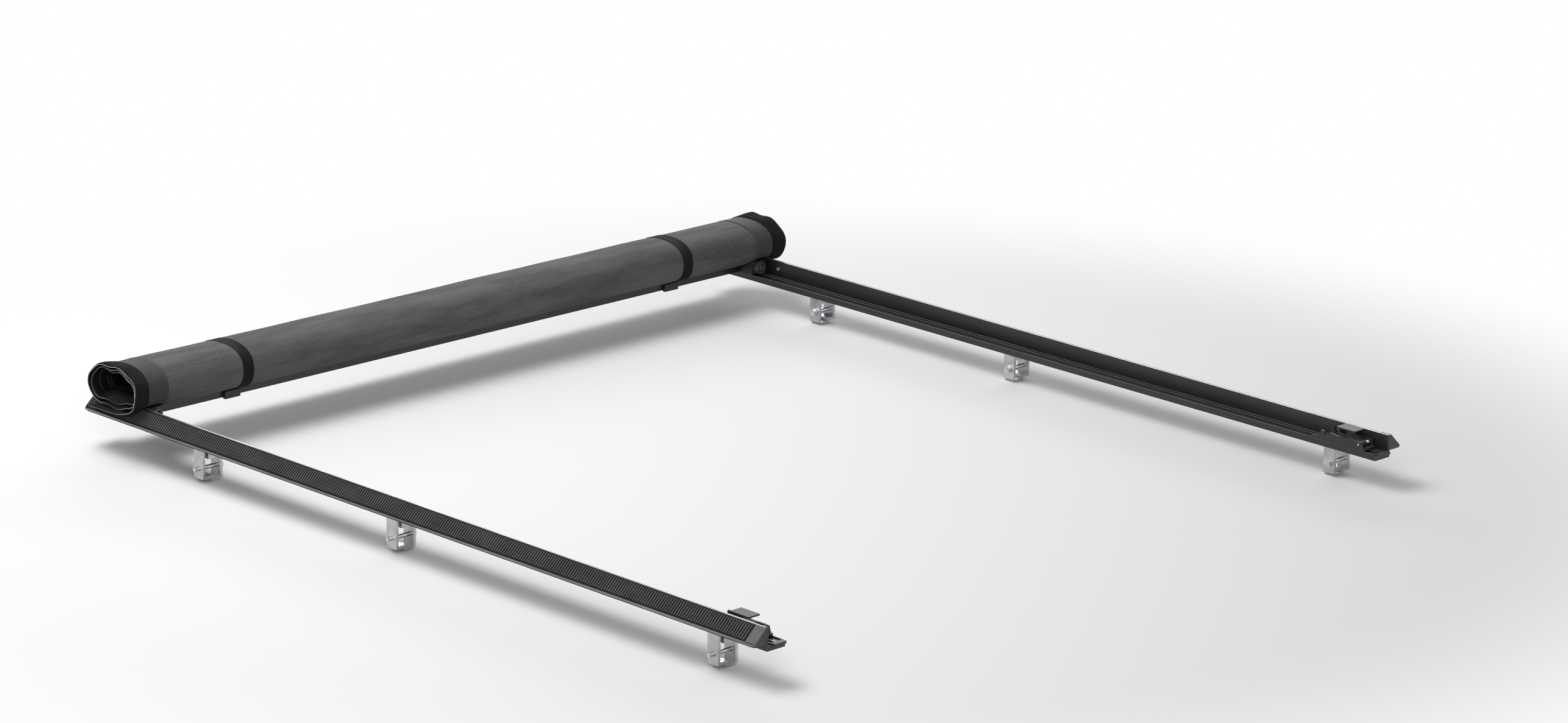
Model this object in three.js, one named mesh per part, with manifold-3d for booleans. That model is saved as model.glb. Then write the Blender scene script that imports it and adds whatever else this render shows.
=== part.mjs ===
// Soft roll-up tonneau cover for a short pickup bed, rolled up at the cab end.
//
// Frame: +X to the truck's right, +Y towards the cab, +Z up, millimetres. The origin lies midway between
// the rails and midway along them, end caps included, on the plane through the feet of the bed clamps.

import * as THREE from 'three';
import { mergeVertices } from 'three/addons/utils/BufferGeometryUtils.js';
import Module from 'manifold-3d';

const wasm = await Module();
wasm.setup();

// ---------------------------------------------------------------- driving dimensions

const GAP = 0.3; // clearance between pieces that touch
const BITE = 1; // joined shapes run into each other this far, and cutters run past what they cut

// Side rails
const RAIL_LENGTH = 1750;
const RIDGE_SPACING = 1600; // between the ridges of the two rails
const RAIL_WALL = 2.6;
const RIDGE_FLAT = 1.2; // flat top of the ridge, outboard of the inner wall
const SLOPE_RUN = 27.7; // outer face, ridge to lip, measured across
const SLOPE_DROP = 24.7; // outer face, ridge to lip, measured down
const LIP_HEIGHT = 3.3;
const WALL_HEIGHT = 32; // ridge to ledge
const LEDGE_WIDTH = 41;
const LEDGE_THICKNESS = 9;
const RIB_WIDTH = 2;
const RIB_HEIGHT = 2.5;
const SEAL_THICKNESS = 2.5;
const HOOK_STRIP_WIDTH = 33;
const HOOK_STRIP_THICKNESS = 1.6;

// T-slot in the underside of the ledge, which the bed clamps hang in
const SLOT_NECK = 6;
const SLOT_HEAD = 12;
const SLOT_LIP = 2.2;
const SLOT_HEAD_HEIGHT = 3.2;

// Rail end caps
const CAP_PLATE = 3;
const CAP_OVERLAP = 20; // length of slope that the cap covers
const CAP_PLUG_DEPTH = 15;
const CAP_TAB = 9; // low tab behind the cap
const CAP_TAB_MARGIN = 6; // each side of the tab, on the ledge
const SEAL_MARGIN = 3;
const RIB_PLACE = 8; // outboard side of the rib nearest the wall, inboard of it

// Bed clamps
const CLAMPS_FROM_FRONT = [310, 840, 1640];
const CLAMP_DROP = 56; // ledge underside to clamp foot
const CLAMP_WIDTH = 26;
const CLAMP_PLATE = 6;
const CLAMP_ARM = 12; // height of the arm that bears on the bed flange
const CLAMP_FOOT = 6;
const FLANGE_GAP = 7; // room for the folded flange of the truck bed
const JAW_THICKNESS = 5;
const JAW_TOP_BELOW_SEAT = 8;
const JAW_LAND = 5; // flat strip above the jaw's teeth
const JAW_HEEL = 10; // the jaw's heel reaches this far inboard of the rail's wall
const TOOTH_COUNT = 3;
const TOOTH_PITCH = 5;
const TOOTH_DEPTH = 1.2;
const SLOT_FROM_LIP = 5; // ledge between its inner edge and the slot's head
const BOLT_RADIUS = 4;
const BOLT_BELOW_LEDGE = 31;
const BOLT_HEX = 13; // across flats
const BOLT_HEAD = 5.3;
const BOLT_WASHER_RADIUS = 8;
const BOLT_WASHER = 1.4;
const BOLT_TIP = 10; // shank beyond the jaw

// Header rail across the cab end
const HEADER_DEPTH = 80;
const HEADER_HEIGHT = 15.7;
const HEADER_WALL = 2.5;
const HEADER_CHAMFER = 2;
const HEADER_SEAL_MARGIN = 8;
const HEADER_END_GAP = 2; // between the header and the rails' ledges
const CORNER_PLUG = 40;
const CORNER_BELOW_RIDGE = 3; // top of the header corners and tension blocks

// Rolled-up tarp
const ROLL_FROM_FRONT = 86.4; // centre of the roll, behind the front ends of the rails
const ROLL_DEPTH = 136;
const ROLL_HEIGHT = 88;
const ROLL_SAG = 15; // underside of the roll, below the ridges
const ROLL_WALL = 16; // tarp layers
const ROLL_OVERHANG = 34.6; // each end, beyond the ridge
const ROLL_LIFT_RUN = 32; // length over which the underside rises to clear the header corners
const ROLL_CORNER_RUN = 10; // then the length over which it rises to lie on the ridges
const ROLL_ABOVE_CORNER = 0.5;
const ROLL_ABOVE_RIDGE = 2;
const CORE_END_GAP = 5; // between the ends of the core and where the underside rises
const ROLL_SQUARENESS = 2.4; // exponent of the roll's outline: 2 is an ellipse
const ROLL_SIDES = 48;

// Rear bar and cross bows at the core of the roll
const BAR_DEPTH = 48;
const BAR_HEIGHT = 24;
const BAR_WALL = 2;
const BAR_CORNER = 5;
const BOW_DEPTH = 22;
const BOW_HEIGHT = 10;
const BOW_WALL = 1.5;
const BOW_SPACE = 1; // between the rear bar and the bows beside it
const PLUG_FACE = 3;
const PLUG_DEPTH = 20;

// Roll straps
const STRAP_FROM_MIDDLE = 565;
const STRAP_WIDTH = 25;
const STRAP_THICKNESS = 1.6;
const BUCKLE_WIDTH = 36;
const BUCKLE_DEPTH = 7;
const BUCKLE_BELOW_HEADER_TOP = 3.5;
const BUCKLE_LIP = 2; // thickness of the lip hooked under the header
const BUCKLE_SIDE = 4; // width of the buckle each side of its lip
const STRAP_END_HEIGHT = 4; // strap's lower end, above the header's underside
const RIVET_RADIUS = 2;

// Tension adjusters
const KNOB_DIAMETER = 25;
const KNOB_THICKNESS = 10.5;
const KNOB_FROM_WALL = 24; // screw axis, inboard of the ridge
const KNOB_ABOVE_RIBS = 1;
const KNOB_FACE = 1.5; // closed end of the knob's bore
const KNOB_CHAMFER = 0.8;
const KNOB_RIM = 2.2;
const KNOB_DISH = 1.6;
const KNOB_HOLE_RADIUS = 2.6;
const KNOB_HOLES = 4;
const SCREW_RADIUS = 4;
const SCREW_REACH = 44; // length of screw inside the header corner
const COLLAR_RADIUS = 7;
const COLLAR_THICKNESS = 2.8;
const COLLAR_SPACE = 4.6; // between the header corner and the tension block
const BLOCK_LENGTH = 34.7;
const STOP_SCREW_FROM_FRONT = 175;
const STOP_SCREW_RADIUS = 2;
const STOP_SCREW_END = 5; // tip of the screw, outboard of the ridge

// Rear latches
const LATCH_FROM_FRONT = 1601; // front end of the latch base
const LATCH_LENGTH = 125;
const LATCH_PIVOT = 111; // pivot pin, behind the front end of the base
const LATCH_PLATE = 4.2;
const LATCH_CHEEK = 4;
const LATCH_PIN_RADIUS = 2;
const PIN_END = 0.5; // pin beyond the cheeks
const LATCH_FROM_WALL = 3; // between the rail's wall and the latch's outboard cheek
const LUG_FOOT = 14; // front lug's foot, behind the front end of the base
// Top edge of the latch's cheeks, as [behind the front end of the base, below the ridge].
const CHEEK_EDGE = [[21, 20], [23, 11], [29, 12], [33, 20], [39, 18], [44, 12], [58, 14]];
const CHEEK_ROUND_PIN = 6;
const LEVER_NOSE = 55; // behind the front end of the base
const LEVER_TAB = 43; // length of the thumb tab, back from the nose
const LEVER_ABOVE_RIDGE = 2;
const LEVER_THICKNESS = 3;
const LEVER_ROOT = 10; // from the pin to where the lever's arm widens
const SPRING_SPACE = 11; // beside the lever's barrel
const LEVER_BARREL = 5.2; // radius round the pin
const SPRING_TURNS = 5;
const SPRING_WIRE = 0.7; // radius

// ---------------------------------------------------------------- places worked out from them

const ridgeX = RIDGE_SPACING / 2;
const ridgeZ = CLAMP_DROP + LEDGE_THICKNESS + WALL_HEIGHT;
const ledgeTop = ridgeZ - WALL_HEIGHT;
const ledgeBottom = ledgeTop - LEDGE_THICKNESS;
const ribTop = ledgeTop + RIB_HEIGHT;
const seatZ = ridgeZ - SLOPE_DROP - LIP_HEIGHT;
const overallLength = RAIL_LENGTH + GAP + CAP_PLATE + CAP_TAB;
const railFront = overallLength / 2;
const railRear = railFront - RAIL_LENGTH;
const fromFront = (distance) => railFront - distance;

const slopeAngle = Math.atan2(SLOPE_DROP, SLOPE_RUN - RIDGE_FLAT);
const slopeLength = Math.hypot(SLOPE_DROP, SLOPE_RUN - RIDGE_FLAT);

const rollY = fromFront(ROLL_FROM_FRONT);
const rollBottom = ridgeZ - ROLL_SAG;
const rollZ = rollBottom + ROLL_HEIGHT / 2;
const rollTop = rollBottom + ROLL_HEIGHT;
const rollHalfLength = ridgeX + ROLL_OVERHANG;

const headerFront = rollY + ROLL_DEPTH / 2;
const headerRear = headerFront - HEADER_DEPTH;
const headerTop = rollBottom - GAP;
const headerBottom = headerTop - HEADER_HEIGHT;
const headerHalfLength = ridgeX - LEDGE_WIDTH - HEADER_END_GAP;

const screwZ = ribTop + KNOB_ABOVE_RIBS + KNOB_DIAMETER / 2;
const blockFront = headerRear - COLLAR_SPACE;
const blockRear = blockFront - BLOCK_LENGTH;
const knobRear = blockRear - GAP - KNOB_THICKNESS;

const seated = ribTop + GAP; // underside of what stands on the ledge's ribs

// ---------------------------------------------------------------- geometry helpers

// Closed prism of an outline [[a, b], ...], with holes, between two places on the axis it runs along.
function prism(axis, outline, from, to, holes = []) {
  const shape = new THREE.Shape(outline.map(([a, b]) => new THREE.Vector2(a, b)));
  for (const hole of holes) {
    shape.holes.push(new THREE.Path(hole.map(([a, b]) => new THREE.Vector2(a, b))));
  }
  const geometry = new THREE.ExtrudeGeometry(shape, { depth: to - from, bevelEnabled: false, steps: 1 });
  geometry.translate(0, 0, from);
  return turnTo(axis, geometry);
}

// Turns a geometry drawn in the XY plane and extruded along Z: 'x' takes the outline's axes to Y and Z,
// and 'y' takes them to X and Z, with the extrusion towards -Y.
function turnTo(axis, geometry) {
  const turn = new THREE.Matrix4();
  if (axis === 'x') {
    turn.makeBasis(new THREE.Vector3(0, 1, 0), new THREE.Vector3(0, 0, 1), new THREE.Vector3(1, 0, 0));
  } else {
    turn.makeBasis(new THREE.Vector3(1, 0, 0), new THREE.Vector3(0, 0, 1), new THREE.Vector3(0, -1, 0));
  }
  return geometry.applyMatrix4(turn);
}

// Prism along Y: the extrusion runs towards -Y, so its ends swap.
const prismY = (outline, y0, y1, holes) => prism('y', outline, -y1, -y0, holes);
const prismX = (outline, x0, x1, holes) => prism('x', outline, Math.min(x0, x1), Math.max(x0, x1), holes);

function box(x0, x1, y0, y1, z0, z1) {
  const geometry = new THREE.BoxGeometry(Math.abs(x1 - x0), Math.abs(y1 - y0), Math.abs(z1 - z0));
  return geometry.translate((x0 + x1) / 2, (y0 + y1) / 2, (z0 + z1) / 2);
}

// Solid of revolution of a closed profile [[radius, place], ...], with its axis along Y or X.
function turned(axis, profile, centre, segments = 32) {
  const points = profile.map(([radius, place]) => new THREE.Vector2(radius, place));
  const geometry = new THREE.LatheGeometry(points, segments);
  if (axis === 'x') {
    geometry.rotateZ(-Math.PI / 2);
  }
  return geometry.translate(...centre);
}

// Cylinder along X or Y between two places, centred on the other two coordinates.
function rod(axis, radius, from, to, [a, b], segments = 24) {
  const [low, high] = [Math.min(from, to), Math.max(from, to)];
  const profile = [[0, low], [radius, low], [radius, high], [0, high]];
  const centre = axis === 'x' ? [0, a, b] : [a, 0, b];
  return turned(axis, profile, centre, segments);
}

// Closed solid of a geometry: shared vertices are merged, and triangles without area on an axis are dropped.
function toManifold(geometry) {
  const bare = geometry.index ? geometry.toNonIndexed() : geometry.clone();
  bare.deleteAttribute('normal');
  bare.deleteAttribute('uv');
  const merged = mergeVertices(bare, 1e-4);
  const vertProperties = new Float32Array(merged.attributes.position.array);
  const corners = merged.index.array;
  const triVerts = [];
  for (let i = 0; i < corners.length; i += 3) {
    const [a, b, c] = corners.slice(i, i + 3);
    if (a !== b && b !== c && c !== a) {
      triVerts.push(a, b, c);
    }
  }
  return new wasm.Manifold(new wasm.Mesh({
    numProp: 3, vertProperties, triVerts: new Uint32Array(triVerts),
  }));
}

function toGeometry(manifold) {
  const { vertProperties, triVerts } = manifold.getMesh();
  const geometry = new THREE.BufferGeometry();
  geometry.setAttribute('position', new THREE.BufferAttribute(new Float32Array(vertProperties), 3));
  geometry.setIndex(new THREE.BufferAttribute(new Uint32Array(triVerts), 1));
  geometry.computeVertexNormals();
  return geometry;
}

function join(...geometries) {
  const parts = geometries.map(toManifold);
  return toGeometry(parts.reduce((whole, part) => whole.add(part)));
}

function cut(geometry, ...tools) {
  const cutters = tools.map(toManifold);
  return toGeometry(cutters.reduce((whole, cutter) => whole.subtract(cutter), toManifold(geometry)));
}

// ---------------------------------------------------------------- materials

const finishes = {
  rail: { color: 0x1b1c1e, roughness: 0.42, metalness: 0.35 },
  plastic: { color: 0x161618, roughness: 0.55, metalness: 0 },
  rubber: { color: 0x101010, roughness: 0.9, metalness: 0 },
  hook: { color: 0x0c0c0d, roughness: 0.95, metalness: 0 },
  tarp: { color: 0x55585b, roughness: 0.9, metalness: 0 },
  webbing: { color: 0x1a1a1c, roughness: 0.85, metalness: 0 },
  aluminium: { color: 0xb4b6b8, roughness: 0.35, metalness: 0.9 },
  zinc: { color: 0xc9ccd0, roughness: 0.25, metalness: 1 },
};

const cover = new THREE.Group();

function add(name, finish, geometry, group = cover) {
  const mesh = new THREE.Mesh(geometry, new THREE.MeshStandardMaterial(finishes[finish]));
  mesh.name = name;
  group.add(mesh);
  return mesh;
}

// ---------------------------------------------------------------- side rails

// A side is +1 for the right rail and -1 for the left. `u` runs outboard from the ridge.
const sides = [['left', -1], ['right', 1]];
const acrossX = (side, u) => side * (ridgeX + u);
const section = (side, points) => points.map(([u, z]) => [acrossX(side, u), z]);

const slotU = -LEDGE_WIDTH + SLOT_HEAD / 2 + SLOT_FROM_LIP;
const plateInner = slotU - CLAMP_PLATE / 2;

// Point on the outer face, `along` the slope from the ridge and `out` from its surface.
function onSlope(along, out) {
  const u = RIDGE_FLAT + along * Math.cos(slopeAngle) + out * Math.sin(slopeAngle);
  const z = ridgeZ - along * Math.sin(slopeAngle) + out * Math.cos(slopeAngle);
  return [u, z];
}

// The rib on the ledge whose outboard side stands at `u`, drawn inboard to outboard.
function rib(u) {
  return [[u - RIB_WIDTH, ledgeTop], [u - RIB_WIDTH, ribTop], [u, ribTop], [u, ledgeTop]];
}

function railOutline() {
  const neck = SLOT_NECK / 2;
  const head = SLOT_HEAD / 2;
  const slotFloor = ledgeBottom + SLOT_LIP;
  const slotRoof = slotFloor + SLOT_HEAD_HEIGHT;
  const middleRib = -(LEDGE_WIDTH + RAIL_WALL - RIB_WIDTH) / 2;
  return [
    [-RAIL_WALL, ridgeZ], [RIDGE_FLAT, ridgeZ],
    [SLOPE_RUN, ridgeZ - SLOPE_DROP], [SLOPE_RUN, seatZ],
    [0, seatZ], [0, ledgeBottom],
    [slotU + neck, ledgeBottom], [slotU + neck, slotFloor],
    [slotU + head, slotFloor], [slotU + head, slotRoof],
    [slotU - head, slotRoof], [slotU - head, slotFloor],
    [slotU - neck, slotFloor], [slotU - neck, ledgeBottom],
    [-LEDGE_WIDTH, ledgeBottom],
    ...rib(-LEDGE_WIDTH + RIB_WIDTH).slice(1),
    ...rib(middleRib),
    ...rib(-RAIL_WALL - RIB_PLACE),
    [-RAIL_WALL, ledgeTop],
  ];
}

// Triangular hollow of the extrusion, one wall in from its faces. `shrink` makes the plug that fills it.
function railHollow(shrink = 0) {
  const fall = Math.tan(slopeAngle);
  const drop = (RAIL_WALL + shrink) / Math.cos(slopeAngle) - RIDGE_FLAT * fall;
  const floor = seatZ + RAIL_WALL + shrink;
  const wall = shrink;
  return [
    [wall, ridgeZ - drop - wall * fall],
    [(ridgeZ - drop - floor) / fall, floor],
    [wall, floor],
  ];
}

function makeRail(name, side) {
  const body = prismY(section(side, railOutline()), railRear, railFront);
  const hollow = prismY(section(side, railHollow()), railRear - BITE, railFront + BITE);
  const hole = rod(
    'x', STOP_SCREW_RADIUS + GAP,
    acrossX(side, -RAIL_WALL - BITE), acrossX(side, BITE),
    [fromFront(STOP_SCREW_FROM_FRONT), screwZ], 16,
  );
  add(`rail_${name}`, 'rail', cut(body, hollow, hole));
}

function makeHookStrip(name, side) {
  const start = (slopeLength - HOOK_STRIP_WIDTH) / 2;
  const outline = [
    onSlope(start, GAP), onSlope(start, GAP + HOOK_STRIP_THICKNESS),
    onSlope(start + HOOK_STRIP_WIDTH, GAP + HOOK_STRIP_THICKNESS), onSlope(start + HOOK_STRIP_WIDTH, GAP),
  ];
  const rear = railRear + CAP_OVERLAP + GAP;
  add(`hook_strip_${name}`, 'hook', prismY(section(side, outline), rear, railFront));
}

function makeRailSeal(name, side) {
  const top = seatZ - GAP;
  const [inner, outer] = [acrossX(side, SEAL_MARGIN), acrossX(side, SLOPE_RUN - SEAL_MARGIN)];
  const [rear, front] = [railRear + SEAL_MARGIN, railFront - SEAL_MARGIN];
  const seal = box(inner, outer, rear, front, top - SEAL_THICKNESS, top);
  add(`rail_seal_${name}`, 'rubber', seal);
}

function makeEndCap(name, side) {
  const skin = GAP + HOOK_STRIP_THICKNESS;
  const plateFront = railRear - GAP;
  const plateRear = plateFront - CAP_PLATE;
  const plate = [
    [-RAIL_WALL, ridgeZ], onSlope(0, skin), onSlope(slopeLength, skin), [SLOPE_RUN, seatZ],
    [0, seatZ], [0, ledgeBottom], [-LEDGE_WIDTH, ledgeBottom], [-LEDGE_WIDTH, ledgeTop],
    [-RAIL_WALL, ledgeTop],
  ];
  const [flapStart, flapEnd] = [BITE, slopeLength - BITE];
  const flap = [
    onSlope(flapStart, GAP), onSlope(flapStart, skin), onSlope(flapEnd, skin), onSlope(flapEnd, GAP),
  ];
  const tab = box(
    acrossX(side, -LEDGE_WIDTH + CAP_TAB_MARGIN), acrossX(side, -RAIL_WALL - CAP_TAB_MARGIN),
    plateRear - CAP_TAB, plateRear + BITE, ledgeTop, ledgeTop + LEDGE_THICKNESS / 2,
  );
  const cap = join(
    prismY(section(side, plate), plateRear, plateFront),
    prismY(section(side, railHollow(GAP)), plateRear + BITE, railRear + CAP_PLUG_DEPTH),
    prismY(section(side, flap), plateRear + BITE, railRear + CAP_OVERLAP),
    tab,
  );
  add(`rail_end_cap_${name}`, 'plastic', cap);
}

function makeStopScrew(name, side) {
  const centre = [fromFront(STOP_SCREW_FROM_FRONT), screwZ];
  const seat = -RAIL_WALL - GAP;
  const headFace = seat - STOP_SCREW_RADIUS;
  const head = rod('x', 2 * STOP_SCREW_RADIUS, acrossX(side, headFace), acrossX(side, seat), centre, 20);
  const [shankStart, shankEnd] = [acrossX(side, seat - BITE), acrossX(side, STOP_SCREW_END)];
  const shank = rod('x', STOP_SCREW_RADIUS, shankStart, shankEnd, centre, 16);
  add(`stop_screw_${name}`, 'zinc', join(head, shank));
}

// ---------------------------------------------------------------- bed clamps

// The bed's flange hangs between the arm's end, in line with the rail's wall, and the jaw.
const clampFoot = ledgeBottom - CLAMP_DROP;
const jawInner = FLANGE_GAP;
const boltZ = ledgeBottom - BOLT_BELOW_LEDGE;
const jawTop = seatZ - JAW_TOP_BELOW_SEAT;
const heelBottom = clampFoot + CLAMP_FOOT + GAP;

function clampBody(side) {
  const top = ledgeBottom - GAP;
  const neck = SLOT_NECK / 2 - GAP;
  const head = SLOT_HEAD / 2 - GAP;
  const headFloor = ledgeBottom + SLOT_LIP + GAP;
  const headRoof = ledgeBottom + SLOT_LIP + SLOT_HEAD_HEIGHT - GAP;
  const plateOuter = plateInner + CLAMP_PLATE;
  const outline = [
    [plateInner, top], [slotU - neck, top], [slotU - neck, headFloor],
    [slotU - head, headFloor], [slotU - head, headRoof],
    [slotU + head, headRoof], [slotU + head, headFloor],
    [slotU + neck, headFloor], [slotU + neck, top],
    [0, top], [0, top - CLAMP_ARM], [plateOuter, top - CLAMP_ARM],
    [plateOuter, clampFoot + CLAMP_FOOT], [-CLAMP_FOOT, clampFoot + CLAMP_FOOT],
    [-CLAMP_FOOT, clampFoot], [plateInner + CLAMP_FOOT, clampFoot],
    [plateInner, clampFoot + CLAMP_FOOT],
  ];
  const body = prismY(section(side, outline), -CLAMP_WIDTH / 2, CLAMP_WIDTH / 2);
  const bore = rod(
    'x', BOLT_RADIUS + GAP, acrossX(side, plateInner - BITE), acrossX(side, plateOuter + BITE), [0, boltZ],
  );
  return cut(body, bore);
}

function clampJaw(side) {
  const outer = jawInner + JAW_THICKNESS;
  const teeth = Array.from({ length: TOOTH_COUNT }, (_, i) => {
    const z = jawTop - JAW_LAND - TOOTH_PITCH * i;
    return [[jawInner + TOOTH_DEPTH, z], [jawInner, z - TOOTH_PITCH / 2]];
  }).flat();
  const outline = [
    [outer, jawTop], [jawInner, jawTop], [jawInner, jawTop - JAW_LAND], ...teeth,
    [jawInner, heelBottom + CLAMP_FOOT], [-JAW_HEEL, heelBottom + CLAMP_FOOT],
    [-JAW_HEEL, heelBottom], [outer, heelBottom],
  ];
  const jaw = prismY(section(side, outline), -CLAMP_WIDTH / 2, CLAMP_WIDTH / 2);
  const bore = rod(
    'x', BOLT_RADIUS + GAP, acrossX(side, jawInner - BITE), acrossX(side, outer + BITE), [0, boltZ],
  );
  return cut(jaw, bore);
}

function clampBolt(side) {
  const seat = plateInner - GAP;
  const washerFace = seat - BOLT_WASHER;
  const headFace = washerFace - BOLT_HEAD;
  const hexRadius = BOLT_HEX / Math.sqrt(3);
  const tip = jawInner + JAW_THICKNESS + BOLT_TIP;
  return join(
    rod('x', BOLT_WASHER_RADIUS, acrossX(side, seat), acrossX(side, washerFace), [0, boltZ], 24),
    rod('x', hexRadius, acrossX(side, washerFace + BOLT_WASHER / 2), acrossX(side, headFace), [0, boltZ], 6),
    rod('x', BOLT_RADIUS, acrossX(side, washerFace), acrossX(side, tip), [0, boltZ], 20),
  );
}

function makeClamps(name, side) {
  CLAMPS_FROM_FRONT.forEach((distance, index) => {
    const clamp = new THREE.Group();
    clamp.position.y = fromFront(distance);
    const label = `${name}_${index + 1}`;
    add(`clamp_body_${label}`, 'aluminium', clampBody(side), clamp);
    add(`clamp_jaw_${label}`, 'aluminium', clampJaw(side), clamp);
    add(`clamp_bolt_${label}`, 'zinc', clampBolt(side), clamp);
    cover.add(clamp);
  });
}

// ---------------------------------------------------------------- header rail

const headerHollow = {
  front: headerFront - HEADER_WALL,
  rear: headerRear + HEADER_WALL,
  top: headerTop - HEADER_WALL,
  bottom: headerBottom + HEADER_WALL,
};
const rivetZ = (headerTop + headerBottom) / 2;

const rectangle = (a0, a1, b0, b1) => [[a0, b0], [a1, b0], [a1, b1], [a0, b1]];

function makeHeader() {
  const { front, rear, top, bottom } = headerHollow;
  const outline = [
    [headerRear, headerBottom], [headerFront, headerBottom],
    [headerFront, headerTop - HEADER_CHAMFER], [headerFront - HEADER_CHAMFER, headerTop],
    [headerRear + HEADER_CHAMFER, headerTop], [headerRear, headerTop - HEADER_CHAMFER],
  ];
  const hollow = rectangle(rear, front, bottom, top);
  const body = prismX(outline, -headerHalfLength, headerHalfLength, [hollow]);
  const holes = sides.map(([, side]) => rod(
    'y', RIVET_RADIUS + GAP, front - BITE, headerFront + BITE, [side * STRAP_FROM_MIDDLE, rivetZ], 16,
  ));
  add('header_rail', 'rail', cut(body, ...holes));

  const sealHalf = headerHalfLength - HEADER_SEAL_MARGIN;
  const [sealRear, sealFront] = [headerRear + HEADER_SEAL_MARGIN, headerFront - HEADER_SEAL_MARGIN];
  const sealTop = headerBottom - GAP;
  add('header_seal', 'rubber', box(
    -sealHalf, sealHalf, sealRear, sealFront, sealTop - SEAL_THICKNESS, sealTop,
  ));
}

const cornerTop = ridgeZ - CORNER_BELOW_RIDGE;
const screwX = (side) => acrossX(side, -KNOB_FROM_WALL);

function makeHeaderCorner(name, side) {
  const inner = side * (headerHalfLength + GAP);
  const outer = acrossX(side, -RAIL_WALL - 2 * GAP);
  const { front, rear, top, bottom } = headerHollow;
  const block = box(inner, outer, headerRear, headerFront, seated, cornerTop);
  const plug = box(
    inner - side * CORNER_PLUG, inner + side * BITE, rear + GAP, front - GAP, bottom + GAP, top - GAP,
  );
  const bore = rod(
    'y', SCREW_RADIUS + GAP, headerRear - BITE, headerRear + SCREW_REACH + BITE, [screwX(side), screwZ],
  );
  add(`header_corner_${name}`, 'plastic', cut(join(block, plug), bore));
}

// ---------------------------------------------------------------- tension adjusters

function makeTensionBlock(name, side) {
  const inner = acrossX(side, -LEDGE_WIDTH);
  const outer = acrossX(side, -RAIL_WALL - 2 * GAP);
  const block = box(inner, outer, blockRear, blockFront, seated, cornerTop);
  const bore = rod('y', SCREW_RADIUS + GAP, blockRear - BITE, blockFront + BITE, [screwX(side), screwZ]);
  add(`tension_block_${name}`, 'plastic', cut(block, bore));
}

const knobBoreEnd = knobRear + KNOB_FACE;

function makeTensionScrew(name, side) {
  const collarRear = blockFront + GAP;
  const profile = [
    [0, knobBoreEnd + GAP], [SCREW_RADIUS, knobBoreEnd + GAP],
    [SCREW_RADIUS, collarRear], [COLLAR_RADIUS, collarRear],
    [COLLAR_RADIUS, collarRear + COLLAR_THICKNESS], [SCREW_RADIUS, collarRear + COLLAR_THICKNESS],
    [SCREW_RADIUS, headerRear + SCREW_REACH], [0, headerRear + SCREW_REACH],
  ];
  add(`tension_screw_${name}`, 'zinc', turned('y', profile, [screwX(side), 0, screwZ], 24));
}

function makeTensionKnob(name, side) {
  const radius = KNOB_DIAMETER / 2;
  const front = knobRear + KNOB_THICKNESS;
  const bore = SCREW_RADIUS + GAP;
  const rimInner = radius - KNOB_RIM;
  const profile = [
    [0, knobRear], [bore, knobRear], [bore + BITE, knobRear + KNOB_DISH],
    [rimInner, knobRear + KNOB_DISH], [rimInner, knobRear], [radius - KNOB_CHAMFER, knobRear],
    [radius, knobRear + KNOB_CHAMFER], [radius, front], [bore, front], [bore, knobBoreEnd],
    [0, knobBoreEnd],
  ];
  const body = turned('y', profile, [screwX(side), 0, screwZ], 32);
  const holeCircle = (bore + rimInner) / 2;
  const holes = Array.from({ length: KNOB_HOLES }, (_, index) => {
    const angle = 2 * Math.PI * (index + 0.5) / KNOB_HOLES;
    const place = [screwX(side) + holeCircle * Math.cos(angle), screwZ + holeCircle * Math.sin(angle)];
    return rod('y', KNOB_HOLE_RADIUS, knobRear - BITE, front + BITE, place, 12);
  });
  add(`tension_knob_${name}`, 'plastic', cut(body, ...holes));
}

// ---------------------------------------------------------------- rear latches

const latchFront = fromFront(LATCH_FROM_FRONT);
const latchRear = latchFront - LATCH_LENGTH;
const latchPlateTop = seated + LATCH_PLATE;
const pivotY = latchFront - LATCH_PIVOT;
const pivotZ = latchPlateTop + LEVER_BARREL + 2 * GAP;
const cheekInner = -LEDGE_WIDTH + BITE;
const cheekOuter = -RAIL_WALL - LATCH_FROM_WALL - LATCH_CHEEK;
const leverInner = cheekInner + LATCH_CHEEK + GAP;
const leverOuter = cheekOuter - GAP;
const barrelOuter = leverOuter - SPRING_SPACE;

function makeLatchBase(name, side) {
  const plate = box(
    acrossX(side, cheekInner), acrossX(side, cheekOuter + LATCH_CHEEK),
    latchRear, latchFront, seated, latchPlateTop,
  );
  // Cheek seen from the side: a front lug, a notch for the rear bar's lip, then the wall down to the pivot.
  const base = latchPlateTop - BITE;
  const cheek = [
    [latchFront - LUG_FOOT, base],
    ...CHEEK_EDGE.map(([behind, below]) => [latchFront - behind, ridgeZ - below]),
    [pivotY + CHEEK_ROUND_PIN, pivotZ + CHEEK_ROUND_PIN], [pivotY - CHEEK_ROUND_PIN, pivotZ + LEVER_BARREL],
    [latchRear + LATCH_CHEEK, base],
  ];
  const walls = [cheekInner, cheekOuter].map((u) => prismX(
    cheek, acrossX(side, u), acrossX(side, u + LATCH_CHEEK),
  ));
  const bore = rod(
    'x', LATCH_PIN_RADIUS + GAP, acrossX(side, cheekInner - BITE),
    acrossX(side, cheekOuter + LATCH_CHEEK + BITE), [pivotY, pivotZ], 20,
  );
  add(`latch_base_${name}`, 'plastic', cut(join(plate, ...walls), bore));
}

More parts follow.
